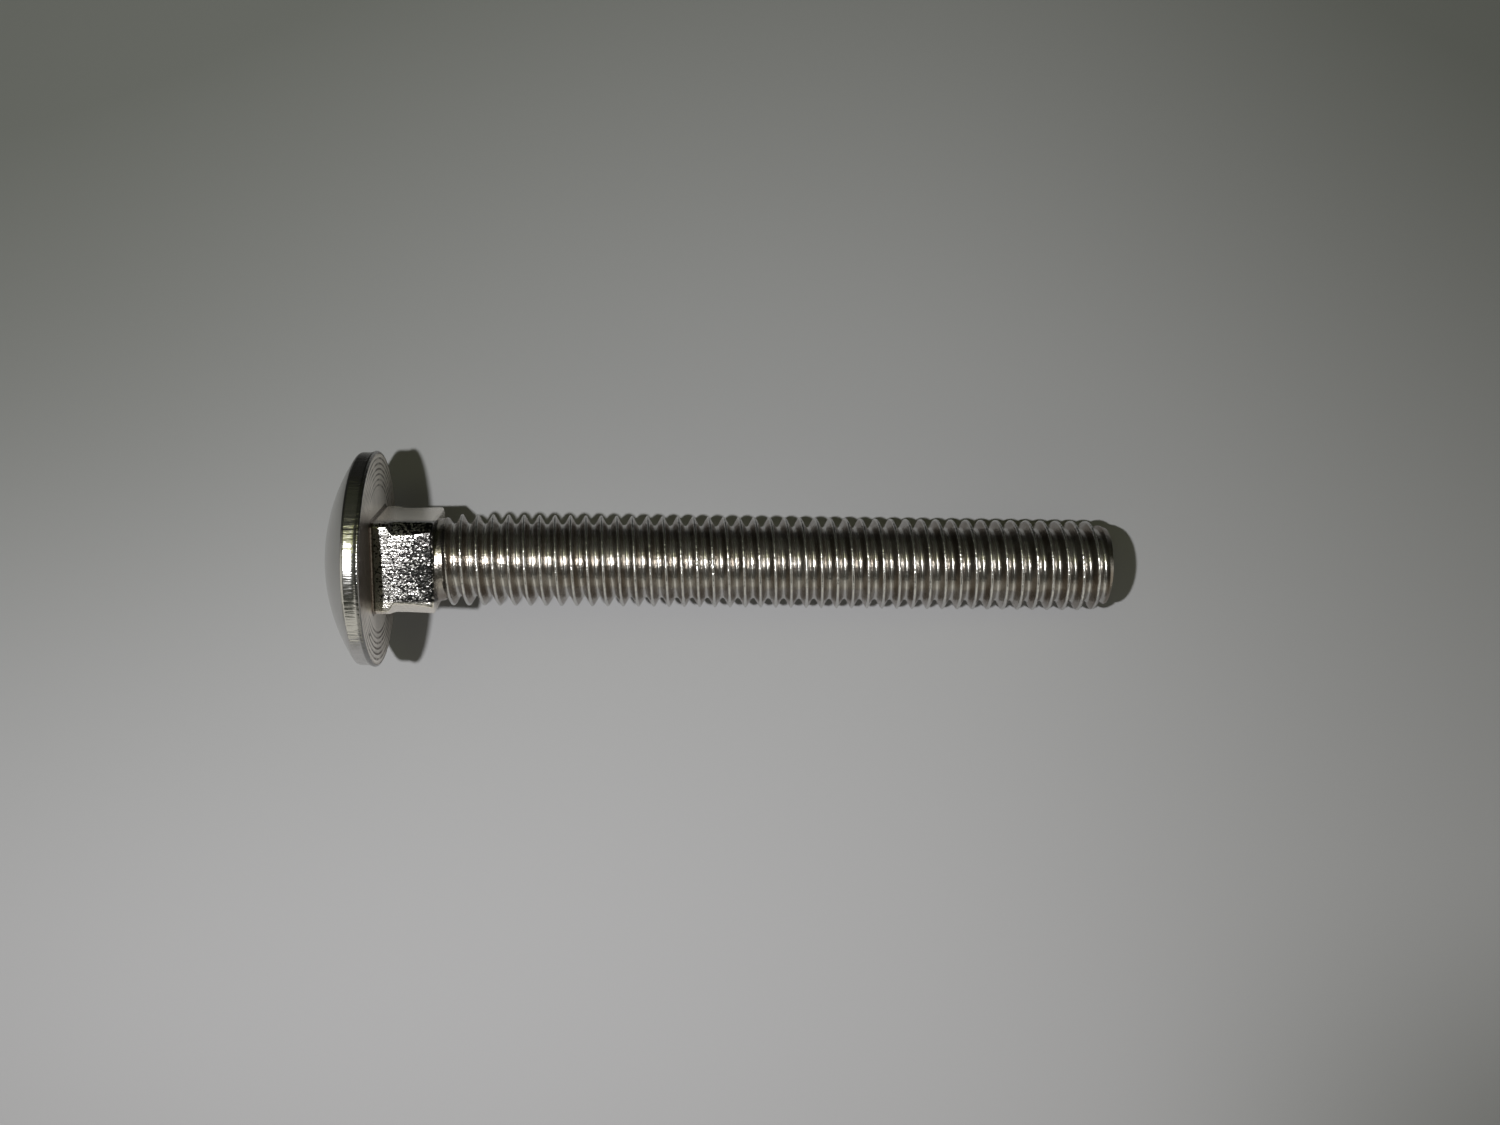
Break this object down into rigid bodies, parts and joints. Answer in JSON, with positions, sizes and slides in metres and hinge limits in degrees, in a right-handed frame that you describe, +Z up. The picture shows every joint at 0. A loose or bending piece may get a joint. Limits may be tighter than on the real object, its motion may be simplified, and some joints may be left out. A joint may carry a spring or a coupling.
{
  "type": "carriage bolt",
  "caption": "Carriage bolt with a low domed round head, a square neck under it and a long fully threaded shank.",
  "frame": {"origin": "centre of the box round the lying bolt, at its lowest point", "axes": "+X from the head towards the threaded end, level, with the bolt's own axis sloping down by the resting tilt; +Z up"},
  "size_m": [0.0808, 0.0224, 0.0223],
  "materials": {
    "bright_steel": "bright, smooth on the head, satin on the neck"
  },
  "bodies": {
    "root": {"carriage_bolt": "bright_steel"}
  },
  "joints": []
}
